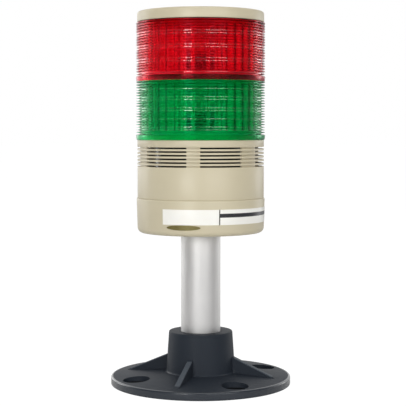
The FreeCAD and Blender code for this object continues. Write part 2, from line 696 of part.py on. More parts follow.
def buzzer_housing():
    """Ring housing with rows of slots between posts, and a ledge and two bosses inside."""
    body = new_body("buzzer_housing", SEAM)
    mouth = f"{MOUTH} / 2"
    ledge = f"({BUZZER_BORE} / 2 - Sizes.ledge_width)"
    ledge_foot = "(Sizes.ledge_level - Sizes.ledge_thickness)"
    shell = turned(body, "shell", [
        (mouth, "0"),
        ("Sizes.body_diameter / 2", "0"),
        ("Sizes.body_diameter / 2", "Sizes.module_pitch"),
        *spigot_corners("Sizes.module_pitch", SPIGOT_BORE, BUZZER_BORE),
        (f"{BUZZER_BORE} / 2", "Sizes.ledge_level"),
        (ledge, "Sizes.ledge_level"),
        (ledge, ledge_foot),
        (f"{BUZZER_BORE} / 2", ledge_foot),
        (f"{BUZZER_BORE} / 2", MOUTH_DEPTH),
        (mouth, MOUTH_DEPTH),
    ])
    shell = eased(body, "bottom_round", shell, rims(shell, "Sizes.body_diameter", "0"),
                  "Sizes.buzzer_edge_round")
    eased(body, "top_round", shell, rims(shell, "Sizes.body_diameter", "Sizes.module_pitch"),
          "Sizes.buzzer_edge_round")
    # Shallow grooves all the way round, one for each row of slots.
    low = ("(Sizes.module_pitch - Sizes.louvre_drop - Sizes.louvre_slot"
           " - (Sizes.louvre_count - 1) * Sizes.louvre_pitch)")
    high = f"{low} + Sizes.louvre_slot"
    inner = "Sizes.body_diameter / 2 - Sizes.louvre_depth"
    outer = "(Sizes.body_diameter / 2 + Sizes.cut_margin)"
    row = groove(body, "louvre_groove", [(inner, low), (outer, low), (outer, high), (inner, high)])
    upwards(body, "louvre_grooves", row, "Sizes.louvre_count", "Sizes.louvre_pitch")
    # Slots open the grooves to the inside between posts, which are narrow and wide by turns.
    past_narrow = "Sizes.narrow_post_angle / 2"
    to_wide = "Sizes.wide_post_offset - Sizes.wide_post_angle / 2"
    past_wide = "Sizes.wide_post_offset + Sizes.wide_post_angle / 2"
    to_narrow = "360 / Sizes.post_pairs - Sizes.narrow_post_angle / 2"
    cutters = [
        window(body, "slot_after_narrow", low, past_narrow, to_wide),
        window(body, "slot_after_wide", low, past_wide, to_narrow),
    ]
    rows = body.newObject("PartDesign::MultiTransform", "slots")
    rows.Originals = cutters
    up = body.newObject("PartDesign::LinearPattern", "slot_rows")
    up.Direction = (origin_feature(body, "Z_Axis"), [""])
    bind(up, "Length", "Sizes.louvre_pitch * (Sizes.louvre_count - 1)")
    bind(up, "Occurrences", "Sizes.louvre_count")
    turns = body.newObject("PartDesign::PolarPattern", "slot_turns")
    turns.Axis = (origin_feature(body, "Z_Axis"), [""])
    turns.Angle = 360
    bind(turns, "Occurrences", "Sizes.post_pairs")
    rows.Transformations = [up, turns]
    body.Tip = rows
    doc.recompute()
    boss_foot = "Sizes.ledge_level - Sizes.ledge_boss_height"
    posts(body, "ledge_bosses", "Sizes.ledge_boss_diameter", EAR_PLACES, boss_foot,
          "Sizes.ledge_boss_height")
    holes(body, "boss_holes", SMALL_PILOT, EAR_PLACES, "Sizes.ledge_level",
          "Sizes.ledge_boss_height")
    return body


def sounder():
    """Round sounder: a stepped can with a port on top and two ears on its plate."""
    body = new_body("sounder", f"{SOUNDER_PLATE} + Sizes.plate_thickness")
    radius = f"{SOUNDER} / 2"
    top = "Sizes.sounder_height"
    turned(body, "can", [
        ("0", "0"),
        (radius, "0"),
        (radius, f"{top} - Sizes.sounder_step_height"),
        (f"{radius} - Sizes.sounder_step", f"{top} - Sizes.sounder_step_height"),
        (f"{radius} - Sizes.sounder_step", top),
        ("Sizes.sounder_port_diameter / 2", top),
        ("Sizes.sounder_port_diameter / 2", f"{top} - Sizes.sounder_port_depth"),
        ("0", f"{top} - Sizes.sounder_port_depth"),
    ])
    posts(body, "ears", "Sizes.sounder_ear_diameter", EAR_PLACES, "0",
          "Sizes.sounder_ear_thickness")
    holes(body, "ear_holes", SMALL_HOLE, EAR_PLACES, "Sizes.sounder_ear_thickness")
    return body


def lens(tier, level):
    """Coloured tube: V ribs outside, round flutes inside, a mouth below and a spigot above."""
    body = new_body(f"{tier}_lens", level)
    rim, rib = f"{LENS_RIM} / 2", f"{LENS_RIB} / 2"
    mouth = f"{MOUTH} / 2"
    turned(body, "tube", [
        (mouth, "0"),
        (rim, "0"),
        (rim, "Sizes.lens_bottom_band"),
        (rib, "Sizes.lens_bottom_band"),
        (rib, "Sizes.module_pitch"),
        *spigot_corners("Sizes.module_pitch", SPIGOT_BORE, LENS_BORE),
        (f"{LENS_BORE} / 2", MOUTH_DEPTH),
        (mouth, MOUTH_DEPTH),
    ])
    flute_circle = f"({LENS_BORE} - Sizes.flute_diameter + 2 * Sizes.flute_depth)"
    flute = holes(body, "flute", "Sizes.flute_diameter", [on_circle(flute_circle, "0")],
                  MOUTH_DEPTH,
                  f"Sizes.module_pitch - Sizes.shoulder_thickness - {MOUTH_DEPTH}",
                  upward=True)
    around(body, "flutes", flute, "Sizes.flute_count")
    low = "(Sizes.lens_bottom_band + Sizes.rib_land / 2)"
    high = f"({low} + {RIB_PITCH} - Sizes.rib_land)"
    valley = groove(body, "rib_valley", [
        (rib, low),
        (f"{rim} + Sizes.cut_margin", low),
        (f"{rim} + Sizes.cut_margin", high),
        (rib, high),
        (f"{rib} - Sizes.rib_depth", f"({low} + {high}) / 2"),
    ])
    upwards(body, "ribs", valley, "Sizes.rib_count", RIB_PITCH)
    return body


def plate(name, level, diameter, wire_hole, wire_places):
    """Disc that carries a device, with holes for the long screws and for wires."""
    body = new_body(name, level)
    section = sketch_in(body, "disc_section")
    circle(section, diameter)
    pad(body, "disc", section, "Sizes.plate_thickness")
    holes(body, "tie_holes", TIE_HOLE, TIE_PLACES, "Sizes.plate_thickness")
    holes(body, "wire_holes", wire_hole, wire_places, "Sizes.plate_thickness")
    return body


def sounder_plate():
    """The sounder's plate, small enough to go down through the spigot onto the ledge."""
    body = plate("sounder_plate", SOUNDER_PLATE,
                 f"({SPIGOT_BORE} - 2 * Sizes.sounder_plate_clearance)",
                 "Sizes.sounder_wire_hole", spread(TIE_CIRCLE, 3, "Sizes.tie_turn + 60"))
    holes(body, "screw_holes", SMALL_HOLE, EAR_PLACES, "Sizes.plate_thickness")
    return body


def lamp_plate(tier, level):
    """The plate of a lamp socket, held between a spigot and the lens above it."""
    return plate(f"{tier}_plate", f"{level} + Sizes.spigot_height", SPIGOT,
                 "Sizes.plate_wire_hole", spread("Sizes.lamp_wire_circle", 2, "Sizes.tie_turn"))


def lamp_socket(tier, level):
    """Square moulded socket with rounded corners and a round well for the lamp's base."""
    body = new_body(f"{tier}_socket", f"{level} + {PLATE_TOP}")
    section = sketch_in(body, "block_section")
    rectangle(section, "Sizes.socket_width", "Sizes.socket_width")
    block = pad(body, "block", section, "Sizes.socket_height")
    uprights = []
    for number, edge in enumerate(block.Shape.Edges, 1):
        ends = [vertex.Point for vertex in edge.Vertexes]
        if abs(ends[0].z - ends[1].z) > 1e-6:
            uprights.append(f"Edge{number}")
    eased(body, "corners", block, uprights, "Sizes.socket_corner")
    holes(body, "well", SOCKET_BORE, [("0", "0")], "Sizes.socket_height",
          "Sizes.socket_height - Sizes.socket_floor")
    return body


def lamp_contact(tier, level):
    """Domed centre contact on the floor of the socket."""
    body = new_body(f"{tier}_contact", f"{level} + {PLATE_TOP} + Sizes.socket_floor")
    turned(body, "button", [
        ("0", "0"),
        ("Sizes.contact_diameter / 2", "0"),
        ("Sizes.contact_diameter / 2", "Sizes.contact_height / 2"),
        ("Sizes.contact_diameter / 4", "Sizes.contact_height"),
        ("0", "Sizes.contact_height"),
    ])
    return body


def lamp(tier, level):
    """Sealed plug-in lamp: a base in the socket, a neck and a domed bulb."""
    bottom = f"{PLATE_TOP} + Sizes.socket_floor + Sizes.contact_height"
    body = new_body(f"{tier}_lamp", f"{level} + {bottom}")
    neck = "(Sizes.socket_height - Sizes.socket_floor - Sizes.contact_height)"
    bulb = f"({neck} + Sizes.lamp_neck_height)"
    top = f"({bulb} + Sizes.lamp_bulb_height)"
    shape = turned(body, "base_and_bulb", [
        ("0", "0"),
        ("Sizes.lamp_base_diameter / 2", "0"),
        ("Sizes.lamp_base_diameter / 2", neck),
        ("Sizes.lamp_bulb_diameter / 2", bulb),
        ("Sizes.lamp_bulb_diameter / 2", top),
        ("0", top),
    ])
    eased(body, "dome", shape, rims(shape, "Sizes.lamp_bulb_diameter", top),
          "Sizes.lamp_dome_round")
    return body


def cap_seal():
    """Flat rubber ring between the red lens and the cap."""
    body = new_body("cap_seal", SEAL)
    section = sketch_in(body, "ring_section")
    circle(section, "(Sizes.body_diameter - 2 * Sizes.seal_margin)")
    circle(section, MOUTH)
    pad(body, "ring", section, "Sizes.seal_thickness")
    return body


def head_cap():
    """Shallow cap over the top spigot, with three blind bosses for the long screws."""
    body = new_body("head_cap", CAP)
    roof = "(Sizes.cap_height - Sizes.cap_roof)"
    shell = turned(body, "shell", [
        (f"{MOUTH} / 2", "0"),
        ("Sizes.body_diameter / 2", "0"),
        ("Sizes.body_diameter / 2", "Sizes.cap_height"),
        ("0", "Sizes.cap_height"),
        ("0", roof),
        (f"{MOUTH} / 2", roof),
    ])
    eased(body, "top_round", shell, rims(shell, "Sizes.body_diameter", "Sizes.cap_height"),
          "Sizes.cap_top_round")
    posts(body, "bosses", "Sizes.tie_boss_diameter", TIE_PLACES, "-Sizes.cap_boss_drop",
          f"{roof} + Sizes.cap_boss_drop")
    holes(body, "screw_holes", TIE_HOLE, TIE_PLACES, "-Sizes.cap_boss_drop",
          "Sizes.cap_boss_drop + Sizes.tie_grip", upward=True)
    return body


def tie_screws():
    """Three long screws from the base's underside up into the cap."""
    body = new_body("tie_screws", f"{BASE} + Sizes.tie_head_depth")
    body.AllowCompound = True
    heads = sketch_in(body, "head_places")
    shanks = sketch_in(body, "shank_places")
    keys = sketch_in(body, "key_places", height="-Sizes.tie_head_height")
    for across, up in TIE_PLACES:
        circle(heads, "Sizes.tie_head_diameter", across, up)
        circle(shanks, "Sizes.tie_diameter", across, up)
        circle(keys, "Sizes.tie_key_diameter", across, up)
    pad(body, "heads", heads, "Sizes.tie_head_height", downward=True)
    reach = f"{CAP} + Sizes.tie_grip - Sizes.tie_end_gap - {BASE} - Sizes.tie_head_depth"
    pad(body, "shanks", shanks, reach)
    pocket(body, "keys", keys, "Sizes.tie_key_depth", upward=True)
    return body


def label_ring(name, height, level):
    """A skin on the base housing's tapered wall, all the way round."""
    skin = doc.addObject("Part::Cone", f"{name}_skin")
    core = doc.addObject("Part::Cone", f"{name}_core")
    taper = "(Sizes.base_lip / Sizes.base_height)"
    low = f"(Sizes.body_diameter / 2 + {taper} * {level})"
    high = f"({low} + {taper} * {height})"
    for cone, extra in ((skin, "Sizes.label_thickness"), (core, "0")):
        bind(cone, "Radius1", f"{low} + {extra}")
        bind(cone, "Radius2", f"{high} + {extra}")
        bind(cone, "Height", height)
        bind(cone, "Placement.Base.z", level)
    ring = doc.addObject("Part::Cut", f"{name}_ring")
    ring.Base, ring.Tool = skin, core
    return ring


def label_piece(name, ring, cutter, turn):
    """The part of a skin that a cutter keeps, turned to its place on the base housing."""
    label = doc.addObject("Part::Common", name)
    label.Label = name
    label.Base, label.Tool = ring, cutter
    bind(label, "Placement.Base.z", BASE)
    bind(label, "Placement.Rotation.Angle", f"({turn}) * 1 deg")
    return label


def wrapped_label(name, left, right):
    """A label between two angles from the front."""
    ring = label_ring(name, "Sizes.label_height", "Sizes.label_level")
    sector = doc.addObject("Part::Cylinder", f"{name}_sector")
    bind(sector, "Radius", "Sizes.body_diameter")
    bind(sector, "Height", "Sizes.label_height")
    bind(sector, "Angle", f"(({right}) - ({left})) * 1 deg")
    bind(sector, "Placement.Base.z", "Sizes.label_level")
    return label_piece(name, ring, sector, f"{left} - 90")


def oval_sticker():
    """Small oval sticker under the front label."""
    ring = label_ring("oval_sticker", "Sizes.sticker_height", "Sizes.sticker_level")
    oval = doc.addObject("Part::Ellipse", "sticker_oval")
    bind(oval, "MajorRadius", "Sizes.sticker_width / 2")
    bind(oval, "MinorRadius", "Sizes.sticker_height / 2")
    oval.Placement = Placement(Vector(0, 0, 0), Rotation(Vector(1, 0, 0), 90))
    bind(oval, "Placement.Base.z", "Sizes.sticker_level + Sizes.sticker_height / 2")
    plug = doc.addObject("Part::Extrusion", "sticker_plug")
    plug.Base = oval
    plug.DirMode = "Normal"
    plug.Solid = True
    bind(plug, "LengthFwd", "Sizes.body_diameter")
    return label_piece("oval_sticker", ring, plug, "Sizes.sticker_turn")


pieces = [
    mount_flange(),
    grub_screw("foot_grub_screw", "Sizes.foot_grub_height",
               "((Sizes.collar_top_diameter - Sizes.pole_diameter) / 2 - Sizes.foot_grub_sink)"),
    pole(),
    pole_ring(),
    grub_screw("pole_ring_grub_screw", f"{BASE} + {RING_LEVEL} + Sizes.ring_grub_height",
               f"(({RING_HUB} - Sizes.pole_diameter) / 2 - Sizes.ring_grub_sink)"),
    screw_set("pole_ring_screws",
              f"{BASE} + {RING_LEVEL} + Sizes.ring_flange_thickness",
              RING_SCREW_PLACES, "Sizes.small_screw_length"),
    base_housing(),
    wrapped_label("front_label", "Sizes.front_label_left", "Sizes.front_label_right"),
    wrapped_label("rating_label", "Sizes.front_label_right + Sizes.label_gap",
                  "Sizes.rating_label_right"),
    oval_sticker(),
    main_board(),
    screw_set("board_screws", BOARD_TOP, BOARD_SCREW_PLACES, "Sizes.small_screw_length"),
    terminal_block(),
    terminal_screws(),
    capacitor(),
    driver_chip(),
    buzzer_housing(),
    sounder_plate(),
    sounder(),
    screw_set("sounder_screws",
              f"{SOUNDER_PLATE} + Sizes.plate_thickness + Sizes.sounder_ear_thickness",
              EAR_PLACES, "Sizes.sounder_screw_length"),
]
for tier, level in (("green", GREEN), ("red", RED)):
    pieces += [
        lamp_plate(tier, level),
        lamp_socket(tier, level),
        lamp_contact(tier, level),
        lamp(tier, level),
        lens(tier, level),
    ]
pieces += [cap_seal(), head_cap(), tie_screws()]
doc.recompute()

for item in doc.Objects:
    if "Invalid" in item.State or "Error" in item.State:
        raise RuntimeError(f"{item.Label} failed: {item.State}")
    if item.TypeId in ("PartDesign::Pocket", "PartDesign::Groove"):
        if item.Shape.Volume >= item.BaseFeature.Shape.Volume - 1e-6:
            raise RuntimeError(f"{item.Label} cuts nothing")

os.makedirs("parts", exist_ok=True)
for piece in pieces:
    if piece.Shape.isNull() or not piece.Shape.isValid():
        raise RuntimeError(f"{piece.Label} has no valid shape")
for piece in pieces:
    piece.Shape.exportStep(f"parts/{piece.Label}.step")
    solids = len(piece.Shape.Solids)
    print(f"{piece.Label}: {solids} solid(s), {piece.Shape.Volume:.1f} cubic mm")
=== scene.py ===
import math

import bpy
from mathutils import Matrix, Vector


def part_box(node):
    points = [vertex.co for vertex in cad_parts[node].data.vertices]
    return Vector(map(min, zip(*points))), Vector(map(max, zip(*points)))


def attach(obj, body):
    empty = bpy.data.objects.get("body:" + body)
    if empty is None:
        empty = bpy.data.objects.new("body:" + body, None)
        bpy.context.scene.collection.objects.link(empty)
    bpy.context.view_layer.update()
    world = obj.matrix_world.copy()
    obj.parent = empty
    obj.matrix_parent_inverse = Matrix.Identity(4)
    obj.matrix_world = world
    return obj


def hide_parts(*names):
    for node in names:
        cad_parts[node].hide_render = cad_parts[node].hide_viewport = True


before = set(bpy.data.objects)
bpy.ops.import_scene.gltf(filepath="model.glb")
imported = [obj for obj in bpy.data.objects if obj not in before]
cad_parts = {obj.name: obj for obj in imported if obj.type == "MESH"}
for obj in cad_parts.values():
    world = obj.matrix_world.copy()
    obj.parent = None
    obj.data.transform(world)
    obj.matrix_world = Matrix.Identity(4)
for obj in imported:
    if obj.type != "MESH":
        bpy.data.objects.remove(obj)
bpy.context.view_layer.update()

# ---------------------------------------------------------------------------------------------
# Foot: one dark moulding. A low conical disc carries a collar for the pole, braced by four thin
# gussets, with four recessed screw holes between them. The finish is a fine satin grain, rubbed
# shiny at the rim and the collar's root, with a painted highlight along the gussets' crests and
# painted shade on the floors of the recesses.

MM = 0.001


class Link:
    """An output in a node tree. Arithmetic on it adds Math nodes."""

    def __init__(self, tree, socket):
        self.tree, self.socket = tree, socket

    def sum(self, operation, *values):
        settings = {"operation": operation}
        return self.tree.node("ShaderNodeMath", settings, dict(enumerate(values)))

    def __add__(self, other):
        return self.sum("ADD", self, other)

    def __radd__(self, other):
        return self.sum("ADD", other, self)

    def __sub__(self, other):
        return self.sum("SUBTRACT", self, other)

    def __rsub__(self, other):
        return self.sum("SUBTRACT", other, self)

    def __mul__(self, other):
        return self.sum("MULTIPLY", self, other)

    def __rmul__(self, other):
        return self.sum("MULTIPLY", other, self)

    def __truediv__(self, other):
        return self.sum("DIVIDE", self, other)

    def __gt__(self, other):
        return self.sum("GREATER_THAN", self, other)

    def __lt__(self, other):
        return self.sum("LESS_THAN", self, other)

    def clamped(self):
        return self.tree.node("ShaderNodeClamp", {}, {"Value": self})


class Tree:
    """The nodes of a material or of the room's light."""

    def __init__(self, owner):
        owner.use_nodes = True
        self.nodes, self.links = owner.node_tree.nodes, owner.node_tree.links

    def node(self, kind, settings, inputs, output=0):
        """Any node, from its type, its settings, and the values or links of its sockets."""
        node = self.nodes.new(kind)
        for name, value in settings.items():
            if name == "stops":
                ramp = node.color_ramp.elements
                while len(ramp) < len(value):
                    ramp.new(1)
                for stop, (position, colour) in zip(ramp, value):
                    stop.position, stop.color = position, colour
            else:
                setattr(node, name, value)
        for name, value in inputs.items():
            if isinstance(value, Link):
                self.links.new(value.socket, node.inputs[name])
            else:
                node.inputs[name].default_value = value
        return Link(self, node.outputs[output])

    def place(self, stretch=(1, 1, 1)):
        """Where a point lies on the object, in metres, stretched for long patterns."""
        spot = self.node("ShaderNodeTexCoord", {}, {}, "Object")
        if stretch == (1, 1, 1):
            return spot
        return self.node("ShaderNodeMapping", {}, {"Vector": spot, "Scale": stretch})

    def split(self, vector):
        """The three numbers of a vector."""
        outputs = self.node("ShaderNodeSeparateXYZ", {}, {"Vector": vector}).socket.node.outputs
        return [Link(self, output) for output in outputs]

    def noise(self, vector, size, detail=2.0, roughness=0.5):
        """Soft noise from 0 to 1 whose blotches are about this size, in metres."""
        inputs = {"Vector": vector, "Scale": 1 / size, "Detail": detail, "Roughness": roughness}
        return self.node("ShaderNodeTexNoise", {}, inputs, "Fac")

    def mix(self, factor, first, second):
        """A colour between two colours."""
        inputs = {0: factor, 6: first, 7: second}
        return self.node("ShaderNodeMix", {"data_type": "RGBA"}, inputs, 2)


class Finish(Tree):
    """A material with one Principled shader. Even values are set on the shader's own sockets."""

    def __init__(self, name, **even):
        self.material = bpy.data.materials.new(name)
        super().__init__(self.material)
        self.shader = self.nodes["Principled BSDF"]
        for socket, value in even.items():
            self.shader.inputs[socket.replace("_", " ")].default_value = value

    def feed(self, socket, link):
        self.links.new(link.socket, self.shader.inputs[socket])

    def bump(self, height, distance):
        """Feeds a height, 0 to 1, to the normal. The distance is its depth in metres."""
        inputs = {"Height": height, "Distance": distance}
        self.feed("Normal", self.node("ShaderNodeBump", {}, inputs, "Normal"))


def paint(red, green, blue):
    """A colour from its display values, 0 to 255."""
    shares = [value / 255 for value in (red, green, blue)]
    linear = [s / 12.92 if s <= 0.04045 else ((s + 0.055) / 1.055) ** 2.4 for s in shares]
    return (*linear, 1)


TOUCHING = 1e-7         # two points closer than this, in metres, are the same point
SHARP_FROM = 35         # an edge that turns by more degrees than this stays sharp


def pick(piece):
    """Selects one piece alone and makes it the active one."""
    bpy.ops.object.select_all(action="DESELECT")
    bpy.context.view_layer.objects.active = piece
    piece.select_set(True)


def edit(piece):
    """Opens a piece in edit mode, with nothing selected."""
    pick(piece)
    bpy.ops.object.mode_set(mode="EDIT")
    bpy.ops.mesh.select_mode(type="VERT")
    bpy.ops.mesh.select_all(action="DESELECT")


def select_where(piece, test):
    """Selects the vertices that pass a test of their place, in edit mode."""
    bpy.ops.object.mode_set(mode="OBJECT")
    for vertex in piece.data.vertices:
        vertex.select = test(vertex.co)
    bpy.ops.object.mode_set(mode="EDIT")


def turned(name, corners, steps=192):
    """A section turned round the pole's axis. A corner is (radius, height, rounding) in mm.

    A rounding under 0.25 mm gets two facets, and a larger one gets five.
    """
    bpy.ops.object.select_all(action="DESELECT")
    bpy.ops.mesh.primitive_circle_add(vertices=len(corners))
    piece = bpy.context.object
    piece.name = piece.data.name = name
    for vertex, corner in zip(piece.data.vertices, corners):
        vertex.co = (corner[0] * MM, 0, corner[1] * MM)
    for rounding in sorted({corner[2] for corner in corners if corner[2]}):
        wanted = [Vector((c[0] * MM, 0, c[1] * MM)) for c in corners if c[2] == rounding]
        edit(piece)
        select_where(piece, lambda co: any((co - spot).length < TOUCHING for spot in wanted))
        facets = 2 if rounding < 0.25 else 5
        bpy.ops.mesh.bevel(offset=rounding * MM, segments=facets, affect="VERTICES")
        bpy.ops.object.mode_set(mode="OBJECT")
    edit(piece)
    bpy.ops.mesh.select_all(action="SELECT")
    bpy.ops.mesh.spin(steps=steps, angle=2 * math.pi, center=(0, 0, 0), axis=(0, 0, 1))
    bpy.ops.mesh.select_all(action="SELECT")
    bpy.ops.mesh.remove_doubles(threshold=TOUCHING)
    bpy.ops.mesh.normals_make_consistent(inside=False)
    bpy.ops.object.mode_set(mode="OBJECT")
    return piece


def settle(piece):
    """Leaves a piece at the origin, unturned and unscaled, with its place in its mesh."""
    pick(piece)
    bpy.ops.object.transform_apply(location=True, rotation=True, scale=True)


def spread(piece, places):
    """Copies of a piece, each turned about the pole's axis and lifted, as one mesh."""
    twins = []
    for turn, lift in places:
        twin = piece.copy()
        twin.data = piece.data.copy()
        bpy.context.collection.objects.link(twin)
        twin.rotation_euler.z, twin.location.z = math.radians(turn), lift
        settle(twin)
        twins.append(twin)
    bpy.data.objects.remove(piece)
    bpy.ops.object.select_all(action="DESELECT")
    for twin in twins:
        twin.select_set(True)
    bpy.context.view_layer.objects.active = twins[0]
    bpy.ops.object.join()
    return twins[0]


def combined(piece, tool, operation):
    """Adds a tool to a piece or cuts it away, and removes the tool."""
    modifier = piece.modifiers.new("combine", "BOOLEAN")
    modifier.operation, modifier.object, modifier.solver = operation, tool, "EXACT"
    pick(piece)
    bpy.ops.object.modifier_apply(modifier=modifier.name)
    bpy.data.objects.remove(tool)


def finished(piece, finish, slot, *nodes):
    """Smooths a piece, gives it its finish, and puts it in place of its nodes."""
    pick(piece)
    bpy.ops.object.shade_smooth_by_angle(angle=math.radians(SHARP_FROM))
    piece.data.materials.clear()
    piece.data.materials.append(finish.material)
    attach(piece, "root")
    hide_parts(*nodes)


FOOT_TURN = -107.5                      # where one gusset points, in degrees
CABLE_HOLE, POLE_HOLE, POLE_SEAT, LEAD_IN = 10, 11.1, 3, 0.4
RIM_HEIGHT, COLLAR_ROOT, COLLAR_START, COLLAR_TOP = 4.3, 19.2, 6.7, 17.7
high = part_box("mount_flange")[1]
rim, crown = high.x / MM, high.z / MM
foot = turned("foot", [
    (CABLE_HOLE, 0, 0.3), (rim, 0, 0.25), (rim, RIM_HEIGHT, 0.8),
    (COLLAR_ROOT, COLLAR_START, 1.0), (COLLAR_TOP, crown, 0.6),
    (POLE_HOLE + LEAD_IN, crown, 0.3), (POLE_HOLE, crown - LEAD_IN, 0),
    (POLE_HOLE, POLE_SEAT, 0), (CABLE_HOLE, POLE_SEAT, 0),
])
GUSSET_LENGTH, GUSSET_THICKNESS, GUSSET_HEIGHT = 29, 2.8, 15
GUSSET_MIDDLE, GUSSET_LEVEL = 29.5, 9.6
GUSSET_FALL, GUSSET_ROUNDING = 12.6, 0.45
bpy.ops.mesh.primitive_cube_add(
    size=1, location=(GUSSET_MIDDLE * MM, 0, GUSSET_LEVEL * MM),
    scale=(GUSSET_LENGTH * MM, GUSSET_THICKNESS * MM, GUSSET_HEIGHT * MM))
gusset = bpy.context.object
settle(gusset)
edit(gusset)
select_where(gusset, lambda co: co.x > GUSSET_MIDDLE * MM and co.z > GUSSET_LEVEL * MM)
bpy.ops.transform.translate(value=(0, 0, -GUSSET_FALL * MM))
bpy.ops.mesh.select_mode(type="EDGE")
select_where(gusset, lambda co: co.z > RIM_HEIGHT * MM)
bpy.ops.mesh.bevel(offset=GUSSET_ROUNDING * MM, segments=3)
bpy.ops.object.mode_set(mode="OBJECT")
quarters = [FOOT_TURN + 90 * number for number in range(4)]
combined(foot, spread(gusset, [(turn, 0) for turn in quarters]), "UNION")
SCREW_HOLE, RECESS, RECESS_FLOOR, SCREW_CIRCLE = 3.25, 7.4, 2.3, 39.5
CUT_BELOW, CUT_ABOVE = -1, 12
recess = turned("recess", [
    (0, CUT_BELOW, 0), (SCREW_HOLE, CUT_BELOW, 0), (SCREW_HOLE, RECESS_FLOOR, 0.2),
    (RECESS, RECESS_FLOOR, 0.3), (RECESS, CUT_ABOVE, 0), (0, CUT_ABOVE, 0),
], 64)
recess.location.x = SCREW_CIRCLE * MM
settle(recess)
combined(foot, spread(recess, [(turn + 45, 0) for turn in quarters]), "DIFFERENCE")

PAINTED_SHADE_LOW, PAINTED_SHADE_HIGH, PAINTED_SHADE_REACH = 0.5, 2.6, 48.5        # painted shade on the recesses' floors and low in the holes
CREST_HIGHLIGHT_LEVEL, CREST_HIGHLIGHT_SLOPE = 23.1, 0.4345                 # a painted highlight lies above a line just under the gussets' crests
CREST_HIGHLIGHT_START, CREST_HIGHLIGHT_END = 19.9, 41.5
ROOT_START, ROOT_END, ROOT_TOP = 19.5, 20.2, 8.2        # the edge where the collar meets the disc
RIM_START = 48.9                                        # the rounded edge of the disc
dark = Finish("foot_plastic", IOR=1.5, Specular_IOR_Level=0.17, Coat_Roughness=0.2)
place = dark.place()
across, depth, up = dark.split(place)
reach = across.sum("SQRT", across * across + depth * depth)
drift = dark.noise(place, 18 * MM, 3)
fine = dark.noise(place, 0.5 * MM, 3, 0.6)
tone_and_painted_highlight = dark.mix(drift, paint(39, 45, 53), paint(44, 50, 59))
recess_painted_shade = (up < PAINTED_SHADE_HIGH * MM) * (up > PAINTED_SHADE_LOW * MM) * (reach < PAINTED_SHADE_REACH * MM)
above_highlight_line = up > CREST_HIGHLIGHT_LEVEL * MM - CREST_HIGHLIGHT_SLOPE * reach
crest_painted_highlight = above_highlight_line * (reach > CREST_HIGHLIGHT_START * MM) * (reach < CREST_HIGHLIGHT_END * MM)
# Painted highlight: the gussets' crests are made paler than the rest of the foot.
tone_and_painted_highlight = dark.mix(0.8 * crest_painted_highlight, tone_and_painted_highlight, paint(84, 91, 99))
# Painted shade: the recesses' floors and the holes' lower walls are darkened to near black.
dark.feed("Base Color", dark.mix(recess_painted_shade, tone_and_painted_highlight, paint(9, 11, 14)))
root_edge = 0.6 * (reach > ROOT_START * MM) * (reach < ROOT_END * MM) * (up < ROOT_TOP * MM)
rubbed = ((reach > RIM_START * MM) + root_edge).clamped()
dark.feed("Roughness", 0.5 + 0.08 * drift - 0.2 * rubbed)
dark.feed("Coat Weight", 0.8 * rubbed)
dark.bump(fine, 0.02 * MM)
finished(foot, dark, "foot_plastic", "mount_flange")

# ---------------------------------------------------------------------------------------------
# Screws: zinc plated steel. One grub screw locks the pole in the foot and one in the ring above
# it. The others hold the ring, the board, the terminals and the sounder, and three long ones
# clamp the whole stack.


def coated(finish, *names):
    """Gives a finish to nodes whose shape stays."""
    for name in names:
        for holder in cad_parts[name].material_slots:
            holder.material = finish.material


def plated(name, colour, gloss, grain=0.25 * MM):
    """Bare or plated metal: fine grain in its gloss and a slow cloud in its tone."""
    finish = Finish(name, Metallic=1.0)
    place = finish.place()
    fine = finish.noise(place, grain, 4, 0.65)
    cloud = finish.noise(place, 4 * MM, 2)
    darker = tuple(share * 0.82 for share in colour[:3]) + (1,)
    finish.feed("Base Color", finish.mix(cloud, darker, colour))
    finish.feed("Roughness", gloss - 0.08 + 0.16 * fine + 0.08 * cloud)
    finish.bump(fine, 0.006 * MM)
    return finish


coated(plated("screw_steel", paint(204, 204, 206), 0.3), "foot_grub_screw",
       "pole_ring_grub_screw", "pole_ring_screws", "board_screws", "terminal_screws",
       "sounder_screws", "tie_screws")

# ---------------------------------------------------------------------------------------------
# Pole: an extruded aluminium tube, satin anodised, with bevelled ends. Drawing the tube leaves
# very fine lines along it.

POLE_BORE, POLE_RADIUS = 9.5, 11
low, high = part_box("pole")
lower_end, upper_end = low.z / MM, high.z / MM
pole = turned("pole_tube", [
    (POLE_BORE, lower_end, 0.2), (POLE_RADIUS, lower_end, 0.3), (POLE_RADIUS, upper_end, 0.3),
    (POLE_BORE, upper_end, 0.2),
])
satin = Finish("pole_aluminium", Metallic=1.0)
lines = satin.noise(satin.place((1, 1, 0.02)), 0.35 * MM, 3, 0.6)
cloud = satin.noise(satin.place((1, 1, 0.4)), 9 * MM, 2)
satin.feed("Base Color", satin.mix(cloud, paint(220, 219, 218), paint(234, 233, 232)))
satin.feed("Roughness", 0.5 + 0.1 * lines + 0.06 * cloud)
satin.bump(lines, 0.004 * MM)
finished(pole, satin, "pole_aluminium", "pole")

# ---------------------------------------------------------------------------------------------
# Base housing: a cream cup on the pole's top end. Its wall widens a little to a rounded lip.
# Inside stand three bosses for the long screws, whose heads sink in the floor, and three board
# posts.

WALL, FLARE, BASE_HEIGHT, HOUSING_BORE = 35, 0.5, 19.2, 32.6
SPIGOT, SPIGOT_BORE, SPIGOT_RISE, SHOULDER = 32.85, 31.15, 3, 2
FLOOR, HUB, HUB_HEIGHT = 2.5, 20, 5.5
TIE_CIRCLE, TIE_TURNS, TIE_BOSS, TIE_BOSS_TOP = 27, [90, 210, 330], 3.8, 15.6
TIE_HOLE, TIE_HEAD, TIE_HEAD_DEPTH = 1.7, 3, 3.2
POST_TURNS, POST, POST_TOP = [150, 270, 30], 2.8, 14


